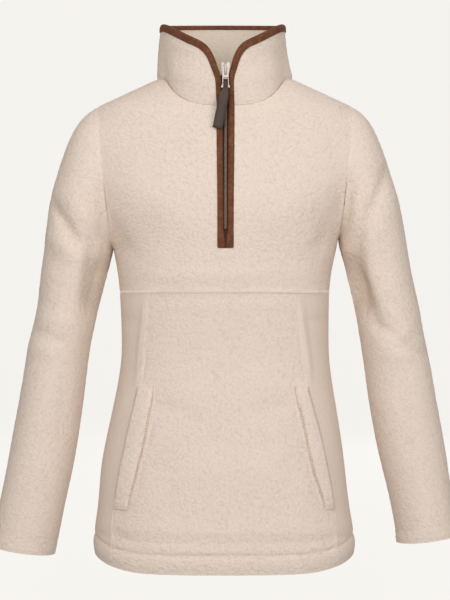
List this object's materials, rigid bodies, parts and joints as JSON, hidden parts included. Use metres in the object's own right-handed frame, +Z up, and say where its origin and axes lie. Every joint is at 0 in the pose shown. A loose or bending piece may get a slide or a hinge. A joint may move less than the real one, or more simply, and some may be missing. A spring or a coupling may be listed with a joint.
{
  "type": "half-zip fleece pullover",
  "caption": "Long-sleeved pile fleece pullover with a stand collar, half zip with bound edges, cross seam, side panels and two slanted pocket welts, in its worn shape.",
  "frame": {"origin": "midway between the two neck points, where the shoulder seams meet the collar seam", "axes": "+Z up along the body, -Y towards the front of the garment, +X towards the wearer's left"},
  "size_m": [0.671, 0.2453, 0.7865],
  "materials": {
    "pile_fleece": "long curly pile",
    "short_pile_fleece": "short brushed pile",
    "suede": "brushed imitation suede",
    "zip_tape": "woven",
    "zip_coil": "satin",
    "enamel": "satin enamel",
    "ribbon": "woven ribbon"
  },
  "bodies": {
    "garment": {"front_upper": "pile_fleece", "front_lower": "pile_fleece", "side_right": "short_pile_fleece", "side_left": "short_pile_fleece", "back": "pile_fleece", "sleeve_right": "pile_fleece", "sleeve_left": "pile_fleece", "collar": "pile_fleece", "binding": "suede", "pocket_welt_right": "pile_fleece", "pocket_welt_left": "pile_fleece", "zip_tape_right": "zip_tape", "zip_tape_left": "zip_tape", "zip_chain": "zip_coil", "slider": "enamel"},
    "pull": {"pull_tab": "enamel", "pull_tag": "ribbon"}
  },
  "joints": [
    {"name": "pull_swing", "type": "hinge", "parent": "garment", "child": "pull", "pos_m": [0.00075, -0.08951, 0.00574], "axis": [-1, 0, 0], "range_deg": [0, 140]}
  ]
}
